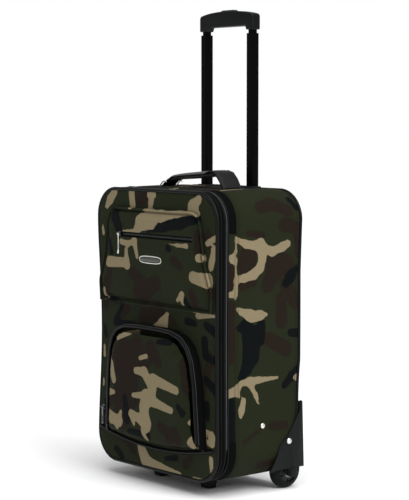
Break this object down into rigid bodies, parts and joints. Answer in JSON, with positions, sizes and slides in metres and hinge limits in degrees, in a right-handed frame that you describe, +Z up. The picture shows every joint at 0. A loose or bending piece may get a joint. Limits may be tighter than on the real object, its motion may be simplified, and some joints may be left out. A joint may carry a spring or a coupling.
{
  "type": "wheeled upright carry-on case",
  "caption": "Soft-sided upright cabin case in woodland print, with a telescoping pull handle, in-line wheels, front pockets and a zipped lid.",
  "frame": {"origin": "on the floor, under the middle of the case's overall box, with the handle's lower stage drawn out", "axes": "+X to the right seen from the front, +Y to the back where the wheels are, +Z up"},
  "size_m": [0.3448, 0.216, 0.815],
  "materials": {
    "camo_fabric": "woven polyester, printed in a woodland pattern",
    "black_fabric": "coarse woven polyester",
    "piping": "satin vinyl over cord",
    "lining": "thin woven lining",
    "stiffener": "plain sheet plastic",
    "zipper_tape": "nylon tape and coil",
    "bright_metal": "nickel plated",
    "badge_enamel": "dark fill with no lettering",
    "black_plastic": "fine moulded grain",
    "grip_plastic": "smooth satin",
    "button_plastic": "smooth satin",
    "black_tube": "semi-gloss black over aluminium",
    "steel": "plain",
    "tyre": "hard polyurethane",
    "hub_plastic": "moulded",
    "foot_plastic": "moulded",
    "handle_leather": "leather-grain vinyl with bound edges"
  },
  "bodies": {
    "root": {"side_band": "camo_fabric", "front_band": "camo_fabric", "corner_patches": "black_fabric", "back_piping": "piping", "back_panel": "camo_fabric", "back_board": "stiffener", "shell_frame": "stiffener", "side_lining": "lining", "back_lining": "lining", "body_zip_tape": "zipper_tape", "outer_tubes": "black_tube", "tube_bracket": "black_plastic", "handle_bezel": "black_plastic", "wheel_housing_right": "black_plastic", "wheel_housing_left": "black_plastic", "axle_pins": "steel", "axle_spacers": "steel", "side_rivets": "bright_metal", "front_feet": "foot_plastic", "carry_grip": "handle_leather", "carry_strap_right": "handle_leather", "carry_strap_left": "handle_leather"},
    "lid": {"lid_zip_tape": "zipper_tape", "lid_piping": "piping", "lid_panel": "camo_fabric", "lid_board": "stiffener", "lid_gusset": "black_fabric", "upper_pocket": "camo_fabric", "upper_zip_tape": "zipper_tape", "badge_rim": "bright_metal", "badge_face": "badge_enamel", "bottom_seam_piping": "piping", "pocket_gusset": "black_fabric", "pocket_slider": "bright_metal"},
    "pocket_flap": {"pocket_zip_tape": "zipper_tape", "pocket_face": "camo_fabric"},
    "top_runner": {"upper_slider": "bright_metal"},
    "top_tab": {"upper_pull": "bright_metal"},
    "pocket_tab": {"pocket_pull": "bright_metal"},
    "main_runner": {"main_slider": "bright_metal"},
    "main_tab": {"main_pull": "bright_metal"},
    "lower_stage": {"lower_tubes": "black_tube", "stage_bushes": "black_plastic", "stage_stops": "black_plastic", "stage_studs": "steel"},
    "upper_stage": {"upper_tubes": "black_tube", "lock_blocks": "black_plastic", "grip_front": "grip_plastic", "grip_back": "grip_plastic", "grip_screws": "steel", "button_springs": "steel"},
    "button": {"release_button": "button_plastic", "release_rods": "steel"},
    "wheel_right": {"tyre_right": "tyre", "hub_right": "hub_plastic", "bearings_right": "steel"},
    "wheel_left": {"tyre_left": "tyre", "hub_left": "hub_plastic", "bearings_left": "steel"}
  },
  "joints": [
    {"name": "lid_hinge", "type": "hinge", "parent": "root", "child": "lid", "pos_m": [0, -0.065, 0.025], "axis": [1, 0, 0], "range_deg": [0, 90]},
    {"name": "pocket_hinge", "type": "hinge", "parent": "lid", "child": "pocket_flap", "pos_m": [0, -0.10185, 0.0869], "axis": [1, 0, 0], "range_deg": [0, 75]},
    {"name": "top_runner_slide", "type": "slide", "parent": "lid", "child": "top_runner", "axis": [1, 0, 0], "range_m": [0, 0.195]},
    {"name": "top_tab_swing", "type": "hinge", "parent": "top_runner", "child": "top_tab", "pos_m": [-0.091, -0.0963, 0.429], "axis": [-1, 0, 0], "range_deg": [0, 110]},
    {"name": "pocket_tab_swing", "type": "hinge", "parent": "lid", "child": "pocket_tab", "pos_m": [-0.1475, -0.0903, 0.118], "axis": [-1, 0, 0], "range_deg": [0, 110]},
    {"name": "main_runner_slide", "type": "slide", "parent": "root", "child": "main_runner", "axis": [0, 0, 1], "range_m": [0, 0.32]},
    {"name": "main_tab_swing", "type": "hinge", "parent": "main_runner", "child": "main_tab", "pos_m": [-0.1696, -0.065, 0.112], "axis": [0, 1, 0], "range_deg": [0, 110]},
    {"name": "lower_stage_slide", "type": "slide", "parent": "root", "child": "lower_stage", "axis": [0, 0, 1], "range_m": [-0.264, 0]},
    {"name": "upper_stage_slide", "type": "slide", "parent": "lower_stage", "child": "upper_stage", "axis": [0, 0, 1], "range_m": [0, 0.24]},
    {"name": "button_press", "type": "slide", "parent": "upper_stage", "child": "button", "axis": [0, 0, -1], "range_m": [0, 0.0035], "stiffness_N_per_m": 600, "springref_m": -0.004, "deforming": ["button_springs"]},
    {"name": "wheel_right_spin", "type": "hinge", "parent": "root", "child": "wheel_right", "pos_m": [0.147, 0.078, 0.03], "axis": [1, 0, 0], "continuous": true},
    {"name": "wheel_left_spin", "type": "hinge", "parent": "root", "child": "wheel_left", "pos_m": [-0.147, 0.078, 0.03], "axis": [1, 0, 0], "continuous": true}
  ]
}
